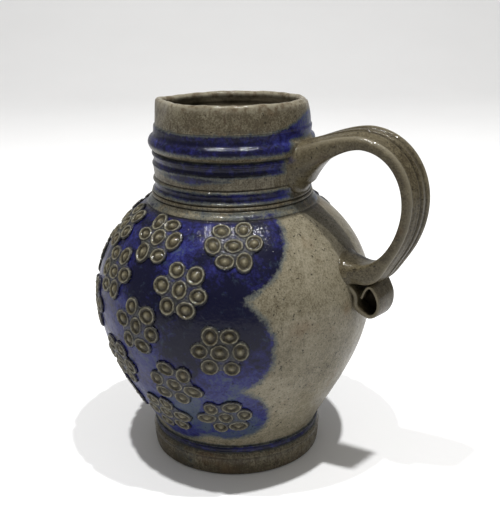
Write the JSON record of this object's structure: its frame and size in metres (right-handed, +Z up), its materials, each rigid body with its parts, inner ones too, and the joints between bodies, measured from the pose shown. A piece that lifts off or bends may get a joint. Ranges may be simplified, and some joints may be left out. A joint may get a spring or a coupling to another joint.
{
  "type": "stoneware jug",
  "caption": "Salt-glazed stoneware jug with a ringed neck, cobalt ground, applied rosettes and a strap handle with a rolled tail.",
  "frame": {"origin": "centre of the flat base, on the surface that the jug stands on", "axes": "+Z up along the axis of the turned body, +X towards the handle, -X towards the pouring lip"},
  "size_m": [0.1665, 0.139, 0.1797],
  "materials": {
    "body_glaze": "salt glaze, grey with a cobalt ground",
    "handle_glaze": "salt glaze, grey-brown",
    "rosette_glaze": "salt glaze, grey bosses with cobalt between them"
  },
  "bodies": {
    "root": {"jug_body": "body_glaze", "handle": "handle_glaze", "rosette_1_1": "rosette_glaze", "rosette_1_2": "rosette_glaze", "rosette_1_3": "rosette_glaze", "rosette_1_4": "rosette_glaze", "rosette_1_5": "rosette_glaze", "rosette_1_6": "rosette_glaze", "rosette_1_7": "rosette_glaze", "rosette_2_1": "rosette_glaze", "rosette_2_2": "rosette_glaze", "rosette_2_3": "rosette_glaze", "rosette_2_4": "rosette_glaze", "rosette_2_5": "rosette_glaze", "rosette_2_6": "rosette_glaze", "rosette_3_1": "rosette_glaze", "rosette_3_2": "rosette_glaze", "rosette_3_3": "rosette_glaze", "rosette_3_4": "rosette_glaze", "rosette_3_5": "rosette_glaze", "rosette_3_6": "rosette_glaze", "rosette_3_7": "rosette_glaze", "rosette_4_1": "rosette_glaze", "rosette_4_2": "rosette_glaze", "rosette_4_3": "rosette_glaze", "rosette_4_4": "rosette_glaze", "rosette_4_5": "rosette_glaze", "rosette_4_6": "rosette_glaze", "rosette_5_1": "rosette_glaze", "rosette_5_2": "rosette_glaze", "rosette_5_3": "rosette_glaze", "rosette_5_4": "rosette_glaze", "rosette_5_5": "rosette_glaze", "rosette_5_6": "rosette_glaze", "rosette_5_7": "rosette_glaze"}
  },
  "joints": []
}
